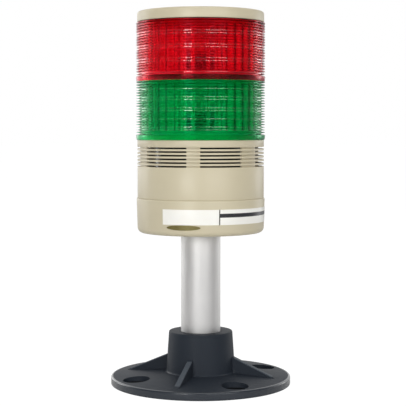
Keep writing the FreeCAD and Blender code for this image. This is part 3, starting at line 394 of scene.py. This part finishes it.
def moulded(name, colour, grain=0.35 * MM, depth=0.012 * MM, gloss=0.42, shift=0.05):
    """Moulded plastic: a fine grain, a slow drift of tone, and gloss that varies a little."""
    finish = Finish(name, IOR=1.5)
    place = finish.place()
    drift = finish.noise(place, 18 * MM, 3)
    darker = tuple(share * (1 - shift) for share in colour[:3]) + (1,)
    lighter = tuple(min(1, share * (1 + shift)) for share in colour[:3]) + (1,)
    finish.feed("Base Color", finish.mix(drift, darker, lighter))
    fine = finish.noise(place, grain, 3, 0.6)
    finish.feed("Roughness", gloss - 0.07 + 0.1 * drift + 0.04 * fine)
    finish.bump(fine, depth)
    return finish


def stud(name, circle, corners, turns):
    """A turned shape on a circle round the axis, once for each turn."""
    piece = turned(name, corners, 48)
    piece.location.x = circle * MM
    settle(piece)
    return spread(piece, [(turn, 0) for turn in turns])


def pins(name, circle, turns, radius, foot_level, head_level, foot_edge=0, head_edge=0):
    """Plain round studs between two levels, with rounded edges at the foot or the head."""
    return stud(name, circle, [
        (0, foot_level, 0), (radius, foot_level, foot_edge), (radius, head_level, head_edge),
        (0, head_level, 0),
    ], turns)


def collar(level, bore):
    """The corners of a shoulder and of the spigot on it, down to the wall's bore."""
    return [
        (SPIGOT, level, 0), (SPIGOT, level + SPIGOT_RISE, 0.3),
        (SPIGOT_BORE, level + SPIGOT_RISE, 0.3), (SPIGOT_BORE, level - SHOULDER, 0),
        (bore, level - SHOULDER, 0),
    ]


low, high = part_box("base_housing")
bottom = low.z / MM
seam = high.z / MM - SPIGOT_RISE
base = turned("base_cup", [
    (POLE_HOLE, bottom, 0.3), (WALL, bottom, 2.8), (WALL + FLARE, seam, 0.5),
    *collar(seam, HOUSING_BORE), (HOUSING_BORE, bottom + FLOOR, 0.5), (HUB, bottom + FLOOR, 0),
    (HUB, bottom + HUB_HEIGHT, 0.3), (POLE_HOLE, bottom + HUB_HEIGHT, 0.3),
])
combined(base, pins("tie_bosses", TIE_CIRCLE, TIE_TURNS, TIE_BOSS, bottom + 2,
                    bottom + TIE_BOSS_TOP, head_edge=0.3), "UNION")
combined(base, pins("board_posts", TIE_CIRCLE, POST_TURNS, POST, bottom + 2,
                    bottom + POST_TOP, head_edge=0.2), "UNION")
combined(base, stud("tie_holes", TIE_CIRCLE, [
    (0, bottom - 1, 0), (TIE_HEAD, bottom - 1, 0), (TIE_HEAD, bottom + TIE_HEAD_DEPTH, 0),
    (TIE_HOLE, bottom + TIE_HEAD_DEPTH, 0), (TIE_HOLE, bottom + 17, 0), (0, bottom + 17, 0),
], TIE_TURNS), "DIFFERENCE")
cream = moulded("housing_plastic", paint(206, 196, 168), 0.4 * MM, 0.006 * MM, 0.38, 0.02)
finished(base, cream, "housing_plastic", "base_housing")

# ---------------------------------------------------------------------------------------------
# Labels: thin smooth films stuck on the base housing. A bare white one faces the front, one with
# a dark strip for the ratings runs round to the right, and a small gold oval sits below.

FILM = 0.15
LABEL = {"level": 6.3, "height": 8.2}           # above the base's underside
STRIP_LOW, STRIP_HIGH = 10.25, 12.35
PRINT_TURN, PRINT_EDGE = 16.3, 0.5              # the dark edge where the printed label starts


def wrapped(name, turn, width, level, height, oval=False):
    """A film on the tapered wall, from a flat sheet. Angles are from the front, in degrees."""
    bpy.ops.object.select_all(action="DESELECT")
    bpy.ops.mesh.primitive_grid_add(x_subdivisions=int(width), y_subdivisions=16, size=2)
    film = bpy.context.object
    film.name = film.data.name = name
    for vertex in film.data.vertices:
        across, up = vertex.co.x, vertex.co.y
        if oval:
            across, up = (across * math.sqrt(1 - up * up / 2),
                          up * math.sqrt(1 - across * across / 2))
        rise = level + height * (up + 1) / 2
        radius = (WALL + FLARE * rise / BASE_HEIGHT) * MM
        angle = math.radians(turn - 90 + across * width / 2)
        vertex.co = (radius * math.cos(angle), radius * math.sin(angle), (bottom + rise) * MM)
    skin = film.modifiers.new("thickness", "SOLIDIFY")
    skin.thickness, skin.offset = FILM * MM, 1
    pick(film)
    bpy.ops.object.modifier_apply(modifier=skin.name)
    return film


def film_finish(name):
    """Smooth white film, a little uneven and yellowed where it was rubbed down."""
    finish = Finish(name, IOR=1.5, Coat_Weight=0.3, Coat_Roughness=0.1)
    place = finish.place()
    rubbed = finish.noise(place, 5 * MM, 3)
    finish.feed("Roughness", 0.3 + 0.12 * rubbed)
    fresh = paint(252, 251, 246)
    yellowed = tuple(share * tint for share, tint in zip(fresh, (0.97, 0.96, 0.92))) + (1,)
    return finish, finish.mix(rubbed, fresh, yellowed)


white, tone = film_finish("label_white")
white.feed("Base Color", tone)
front = wrapped("front_label_film", turn=-9.325, width=50.85, **LABEL)
finished(front, white, "label_white", "front_label")
printed, tone = film_finish("label_printed")
across, depth, up = printed.split(printed.place())
strip = (up > (bottom + STRIP_LOW) * MM) * (up < (bottom + STRIP_HIGH) * MM)
divide = math.radians(PRINT_TURN)
edge_of_print = (across * math.cos(divide) + depth * math.sin(divide)) < PRINT_EDGE * MM
strip = (strip + edge_of_print).clamped()
edge = printed.noise(printed.place(), 0.3 * MM, 2)
ink = printed.mix(edge, paint(18, 19, 24), paint(28, 29, 34))
printed.feed("Base Color", printed.mix(strip, tone, ink))
rating = wrapped("rating_label_film", turn=58.15, width=83.7, **LABEL)
finished(rating, printed, "label_white", "rating_label")
gold = Finish("sticker_gold", IOR=1.5, Metallic=0.35)
brushed = gold.noise(gold.place((0.2, 1, 1)), 0.4 * MM, 3, 0.6)
gold.feed("Base Color", gold.mix(brushed, paint(92, 82, 38), paint(134, 124, 70)))
gold.feed("Roughness", 0.3 + 0.15 * brushed)
oval = wrapped("oval_sticker_film", turn=-15.4, width=30.8, level=3.4, height=2.8, oval=True)
finished(oval, gold, "sticker_gold", "oval_sticker")

# ---------------------------------------------------------------------------------------------
# Ring and board in the base: a cast ring on the pole's top end, and a round circuit board above
# it with a terminal block, a can capacitor and a driver chip. The sounder and the lamp sockets
# above them are of the same black plastic as the chip.

CAN_TOP = 0.4           # how far the can's bare metal shows above its sleeve
coated(plated("ring_metal", paint(188, 188, 190), 0.45, 0.5 * MM), "pole_ring")
lacquer = Finish("board_green", IOR=1.5, Coat_Weight=0.4, Coat_Roughness=0.15)
place = lacquer.place()
tracks = lacquer.node("ShaderNodeTexBrick", {"offset": 0.35}, {
    "Vector": place, "Scale": 120.0, "Color1": (0, 0, 0, 1), "Color2": (0.3, 0.3, 0.3, 1),
    "Mortar": (1, 1, 1, 1), "Mortar Size": 0.03}, "Color")
lacquer.feed("Base Color", lacquer.mix(tracks, paint(16, 92, 50), paint(44, 124, 66)))
lacquer.feed("Roughness", 0.3 + 0.1 * lacquer.noise(place, 1 * MM))
coated(lacquer, "main_board")
coated(moulded("terminal_plastic", paint(36, 132, 84)), "terminal_block")
sleeve = Finish("can_metal", IOR=1.5)
up = sleeve.split(sleeve.place())[2]
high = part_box("capacitor")[1]
bare = up > high.z - CAN_TOP * MM
scuffed = sleeve.noise(sleeve.place(), 1.5 * MM, 3)
dark_sleeve = sleeve.mix(scuffed, paint(24, 26, 38), paint(38, 40, 54))
sleeve.feed("Base Color", sleeve.mix(bare, dark_sleeve, paint(196, 197, 200)))
sleeve.feed("Metallic", bare)
sleeve.feed("Roughness", 0.28 + 0.15 * scuffed)
coated(sleeve, "capacitor")
black = moulded("black_plastic", paint(18, 18, 20), 0.3 * MM, 0.01 * MM, 0.5)
coated(black, "driver_chip", "sounder", "green_socket", "red_socket")

# ---------------------------------------------------------------------------------------------
# Buzzer housing: a cream ring with six rows of louvre slots between six posts. Shallow grooves
# run all the way round in line with the slots. A ledge and two bosses inside carry the plate of
# the sounder.

MODULE, MOUTH, MOUTH_DEPTH = 32, 33.1, 4.9
ROWS, FIRST_ROW, ROW_PITCH, SLOT, GROOVE = 6, 17.5, 1.95, 0.9, 1.2
NARROW_POST = -96.6                             # where one of the three narrow posts stands
SLOT_SPANS = ((6.2, 47.2), (67.4, 113.8))       # two slots, in degrees past a narrow post
SLOT_FROM, SLOT_TO, SLOT_EASE = 31, 36.5, 0.04
LEDGE, LEDGE_LOW, LEDGE_TOP = 29, 7, 9
PLATE_CIRCLE, PLATE_TURNS, PLATE_BOSS, PLATE_HOLE, PLATE_SEAT = 27.4, [0, 180], 4, 1.5, 8.98
top = seam + MODULE
grooves = []
for row in range(ROWS):
    level = FIRST_ROW + ROW_PITCH * row
    grooves += [
        (WALL, seam + level, 0.15), (WALL - GROOVE, seam + level, 0),
        (WALL - GROOVE, seam + level + SLOT, 0), (WALL, seam + level + SLOT, 0.15),
    ]
buzzer = turned("buzzer_ring", [
    (MOUTH, seam, 0), (WALL, seam, 0.3), *grooves, (WALL, top, 0.3),
    *collar(top, HOUSING_BORE), (HOUSING_BORE, seam + LEDGE_TOP, 0),
    (LEDGE, seam + LEDGE_TOP, 0.2), (LEDGE, seam + LEDGE_LOW, 0.2),
    (HOUSING_BORE, seam + LEDGE_LOW, 0), (HOUSING_BORE, seam + MOUTH_DEPTH, 0),
    (MOUTH, seam + MOUTH_DEPTH, 0),
])
for start, end in SLOT_SPANS:
    half = math.radians(end - start) / 2
    near, far = SLOT_FROM * math.cos(half) * MM, SLOT_TO * MM
    bpy.ops.object.select_all(action="DESELECT")
    bpy.ops.mesh.primitive_cube_add(
        size=1, location=((near + far) / 2, 0, (seam + FIRST_ROW + SLOT / 2) * MM),
        scale=(far - near, 2 * near * math.tan(half), (SLOT - SLOT_EASE) * MM))
    opening = bpy.context.object
    settle(opening)
    edit(opening)
    select_where(opening, lambda co: co.x > (near + far) / 2)
    bpy.ops.transform.resize(value=(1, far / near, 1))
    bpy.ops.object.mode_set(mode="OBJECT")
    turns = [NARROW_POST + (start + end) / 2 + 120 * pair for pair in range(3)]
    places = [(turn, ROW_PITCH * row * MM) for turn in turns for row in range(ROWS)]
    combined(buzzer, spread(opening, places), "DIFFERENCE")
combined(buzzer, pins("ledge_bosses", PLATE_CIRCLE, PLATE_TURNS, PLATE_BOSS, seam + 4,
                      seam + PLATE_SEAT, foot_edge=0.3), "UNION")
combined(buzzer, pins("boss_holes", PLATE_CIRCLE, PLATE_TURNS, PLATE_HOLE, seam + 3,
                      seam + 10), "DIFFERENCE")
finished(buzzer, cream, "housing_plastic", "buzzer_housing")

# ---------------------------------------------------------------------------------------------
# Lamps: in each coloured tier a pale plate carries a black square socket with a brass contact,
# and a milky lamp with a plated base stands in it. The sounder's plate is the same pale plastic.

LAMP_BASE = 7.1
pale = moulded("plate_plastic", paint(232, 230, 222), 0.4 * MM, 0.008 * MM, 0.4, 0.02)
coated(pale, "sounder_plate", "green_plate", "red_plate")
coated(plated("brass", paint(212, 176, 98), 0.22), "green_contact", "red_contact")
for tier in ("green", "red"):
    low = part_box(f"{tier}_lamp")[0]
    milky = Finish(f"{tier}_lamp_white", IOR=1.5, Subsurface_Weight=0.3,
                   Subsurface_Scale=2 * MM)
    up = milky.split(milky.place())[2]
    metal = up < low.z + LAMP_BASE * MM
    drift = milky.noise(milky.place(), 3 * MM, 3)
    glass = milky.mix(drift, paint(236, 235, 230), paint(248, 247, 243))
    milky.feed("Base Color", milky.mix(metal, glass, paint(190, 188, 182)))
    milky.feed("Metallic", metal)
    milky.feed("Roughness", 0.25 + 0.12 * drift)
    coated(milky, f"{tier}_lamp")

# ---------------------------------------------------------------------------------------------
# Lenses: clear coloured tubes. Fine V ribs run round the outside over a plain band, and round
# flutes run up the inside, so the light breaks into small streaks. The polish of the ribs varies
# from one to the next.

RIBS, BAND, BAND_FOOT, BAND_TOP, TOP_LAND = 20, 2.6, 0.35, 0.75, 0.4
RIB_RISE, RIB_DEPTH = 0.5, 1.4                  # from the wall out to a crest, in to a valley
HALF_LAND, HALF_VALLEY = 0.22, 0.25             # half the flat of a crest, of a valley's floor
LENS_BORE, FLUTES = 31.7, 40
FLUTE_RADIUS, FLUTE_INSET = 2.5, 1.8            # a flute, and how far inside the bore it centres
CLOSE = 0.1                                     # how near the bore a point counts as on it
POLISH_FROM, POLISH_TO = 0.3, 0.7               # the polished part of a rib, of its pitch
# A tier's name, its tint, the tint of its depth, and which of its ribs are polished.
TIERS = (
    ("green", (0.02, 0.75, 0.34, 1), (0.3, 0.91, 0.79, 1), (2, 3, 6, 9, 10, 13, 14, 17)),
    ("red", (1, 0.09, 0.16, 1), (1, 0.47, 0.58, 1), (1, 5, 6, 10, 11, 15, 16)),
)
for tier, tint, depth_tint, polished in TIERS:
    low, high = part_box(f"{tier}_lens")
    level = low.z / MM
    top = high.z / MM - SPIGOT_RISE
    pitch = (top - TOP_LAND - level - BAND) / RIBS
    ribs = []
    for rib in range(RIBS):
        valley = level + BAND + (rib + 0.5) * pitch
        ribs += [
            (WALL + RIB_RISE, valley - pitch / 2 + HALF_LAND, 0.06),
            (WALL - RIB_DEPTH, valley - HALF_VALLEY, 0.1),
            (WALL - RIB_DEPTH, valley + HALF_VALLEY, 0.1),
            (WALL + RIB_RISE, valley + pitch / 2 - HALF_LAND, 0.06),
        ]
    tube = turned(f"{tier}_lens_tube", [
        (MOUTH, level, 0), (WALL + BAND_FOOT, level, 0.2), (WALL + BAND_TOP, level + BAND, 0.2),
        *ribs, (WALL + RIB_RISE, top, 0.1), *collar(top, LENS_BORE),
        (LENS_BORE, level + MOUTH_DEPTH, 0), (MOUTH, level + MOUTH_DEPTH, 0),
    ], 320)
    for vertex in tube.data.vertices:
        radius = math.hypot(vertex.co.x, vertex.co.y) / MM
        height = vertex.co.z / MM
        on_bore = abs(radius - LENS_BORE) < CLOSE
        if on_bore and level + MOUTH_DEPTH - CLOSE < height < top - SHOULDER + CLOSE:
            share = (math.atan2(vertex.co.y, vertex.co.x) * FLUTES / (2 * math.pi)) % 1
            off = abs(share - 0.5) * 2 * math.pi * LENS_BORE / FLUTES
            cut = max(0, math.sqrt(max(0, FLUTE_RADIUS ** 2 - off ** 2)) - FLUTE_INSET)
            vertex.co.x *= 1 + cut / LENS_BORE
            vertex.co.y *= 1 + cut / LENS_BORE
    clear = Finish(f"{tier}_lens_plastic", IOR=1.49, Transmission_Weight=1.0,
                   Base_Color=tint, Specular_Tint=tint, Coat_IOR=1.85, Coat_Roughness=0.05)
    up = clear.split(clear.place())[2]
    row = (up - (level + BAND - pitch / 2) * MM) / (pitch * MM * (RIBS + 1))
    stops = [(0, (0, 0, 0, 1))]
    for number in polished:
        stops += [((number + POLISH_FROM) / (RIBS + 1), (1, 1, 1, 1)),
                  ((number + POLISH_TO) / (RIBS + 1), (0, 0, 0, 1))]
    shine = clear.node("ShaderNodeValToRGB", {"stops": stops}, {"Fac": row})
    shine.socket.node.color_ramp.interpolation = "CONSTANT"
    clear.feed("Roughness", 0.22 - 0.16 * shine)
    clear.feed("Coat Weight", shine)
    body = clear.node("ShaderNodeVolumeAbsorption", {}, {"Color": depth_tint, "Density": 500.0})
    clear.links.new(body.socket, clear.nodes["Material Output"].inputs["Volume"])
    finished(tube, clear, f"{tier}_lens", f"{tier}_lens")

# ---------------------------------------------------------------------------------------------
# Seal and cap: a flat black rubber ring, and a shallow cream cap over the top spigot. Three blind
# bosses in the cap take the ends of the long screws.

CAP_HEIGHT, CAP_ROOF, BOSS_DROP, HOLE_TOP = 5.7, 2, 3.8, 2.6
rubber = Finish("seal_rubber", IOR=1.5)
bloom = rubber.noise(rubber.place(), 0.8 * MM, 3)
rubber.feed("Base Color", rubber.mix(bloom, paint(26, 24, 24), paint(42, 39, 38)))
rubber.feed("Roughness", 0.6 + 0.2 * bloom)
coated(rubber, "cap_seal")
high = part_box("head_cap")[1]
roof = high.z / MM
rim = roof - CAP_HEIGHT
cap = turned("cap_shell", [
    (MOUTH, rim, 0), (WALL, rim, 0.3), (WALL, roof, 1.3), (0, roof, 0), (0, roof - CAP_ROOF, 0),
    (MOUTH, roof - CAP_ROOF, 0),
])
combined(cap, pins("cap_bosses", TIE_CIRCLE, TIE_TURNS, TIE_BOSS, rim - BOSS_DROP, roof - 1.5,
                   foot_edge=0.3), "UNION")
combined(cap, pins("cap_holes", TIE_CIRCLE, TIE_TURNS, TIE_HOLE, rim - 5, rim + HOLE_TOP),
         "DIFFERENCE")
finished(cap, cream, "housing_plastic", "head_cap")

# ---------------------------------------------------------------------------------------------
# Room: a plain pale floor and a white backdrop, with soft boxes at the front left and right,
# behind each side, at the back left and above. The camera looks level with the lenses and a
# little down.

PAPER_GLOW, PAPER_SEEN = 1.18, 0.8              # the floor shows white, with the shadow left on it
bpy.ops.object.select_all(action="DESELECT")
bpy.ops.mesh.primitive_plane_add(size=20, location=(0, 0, 0))
floor = bpy.context.object
floor.name = "floor"
paper = Finish("floor_paper", Base_Color=(0.86, 0.86, 0.86, 1), Roughness=0.9)
glow = paper.node("ShaderNodeEmission", {}, {"Color": (1, 1, 1, 1), "Strength": PAPER_GLOW})
seen = paper.node("ShaderNodeLightPath", {}, {}, "Is Camera Ray")
shader = Link(paper, paper.shader.outputs[0])
both = paper.node("ShaderNodeMixShader", {}, {0: PAPER_SEEN * seen, 1: shader, 2: glow})
paper.links.new(both.socket, paper.nodes["Material Output"].inputs["Surface"])
floor.data.materials.append(paper.material)

# Matt surfaces get the ambient level from all round. Gloss sees a dim front and a white back.
# What shows through the lenses is lit at its own level, most from a window at the left.
AMBIENT, FRONT, THROUGH = 0.32, 0.1, 1.2
BACK_SLOPE, WINDOW, WINDOW_EDGE, SIDE_SLOPE = 2.2, 1.8, -0.5, 0.5
world = bpy.data.worlds.new("studio")
bpy.context.scene.world = world
sky = Tree(world)
across, depth = sky.split(sky.place())[:2]
behind = (BACK_SLOPE * depth).clamped()
camera_ray = sky.node("ShaderNodeLightPath", {}, {}, "Is Camera Ray")
glossy_ray = sky.node("ShaderNodeLightPath", {}, {}, "Is Glossy Ray")
through_ray = sky.node("ShaderNodeLightPath", {}, {}, "Is Transmission Ray")
level = AMBIENT + (FRONT + (1 - FRONT) * behind - AMBIENT) * glossy_ray
window = WINDOW * (2 * (WINDOW_EDGE - across)).clamped() - SIDE_SLOPE * across
level = level + (THROUGH + (1 - THROUGH) * behind + window - level) * through_ray
level = level + (1 - level) * camera_ray
sky.links.new(level.socket, sky.nodes["Background"].inputs["Strength"])
sky.nodes["Background"].inputs["Color"].default_value = (1, 1, 1, 1)

# A lamp's name, where it stands, in degrees from the front and up, how far off, its width and
# height in metres, and its radiance.
LAMPS = (
    ("left_front", -22, 6, 1.2, 0.3, 0.28, 14), ("right_front", 28, 9, 1.2, 0.85, 0.3, 4.1),
    ("left_side", -121, 8, 1.1, 0.3, 0.9, 3), ("left_back", -150, 8, 1.2, 0.4, 0.6, 1.2),
    ("right_side", 127, 2, 1.1, 0.3, 0.3, 3), ("above", 0, 70, 1.2, 0.9, 0.7, 2.3),
)
target = Vector((0, 0, 120 * MM))
for name, turn, lift, distance, width, height, radiance in LAMPS:
    lamp_data = bpy.data.lights.new(name, "AREA")
    lamp_data.shape = "RECTANGLE"
    lamp_data.size, lamp_data.size_y = width, height
    lamp_data.energy = radiance * math.pi * width * height
    lamp = bpy.data.objects.new(name, lamp_data)
    bpy.context.collection.objects.link(lamp)
    angle, rise = math.radians(turn - 90), math.radians(lift)
    offset = Vector((math.cos(angle) * math.cos(rise), math.sin(angle) * math.cos(rise),
                     math.sin(rise)))
    lamp.location = target + distance * offset
    lamp.rotation_euler = offset.to_track_quat("Z", "Y").to_euler()
    lamp.visible_camera = False

CAMERA_PLACE, CAMERA_DIP = (1.3 * MM, -692 * MM, 141.6 * MM), 3.4
camera_data = bpy.data.cameras.new("camera")
camera = bpy.data.objects.new("camera", camera_data)
bpy.context.collection.objects.link(camera)
camera.location = CAMERA_PLACE
camera.rotation_euler = (math.radians(90 - CAMERA_DIP), 0, 0)
camera_data.lens = 110.57
camera_data.sensor_width = 36
camera_data.clip_start = 0.01
bpy.context.scene.camera = camera
bpy.context.scene.view_settings.view_transform = "Standard"
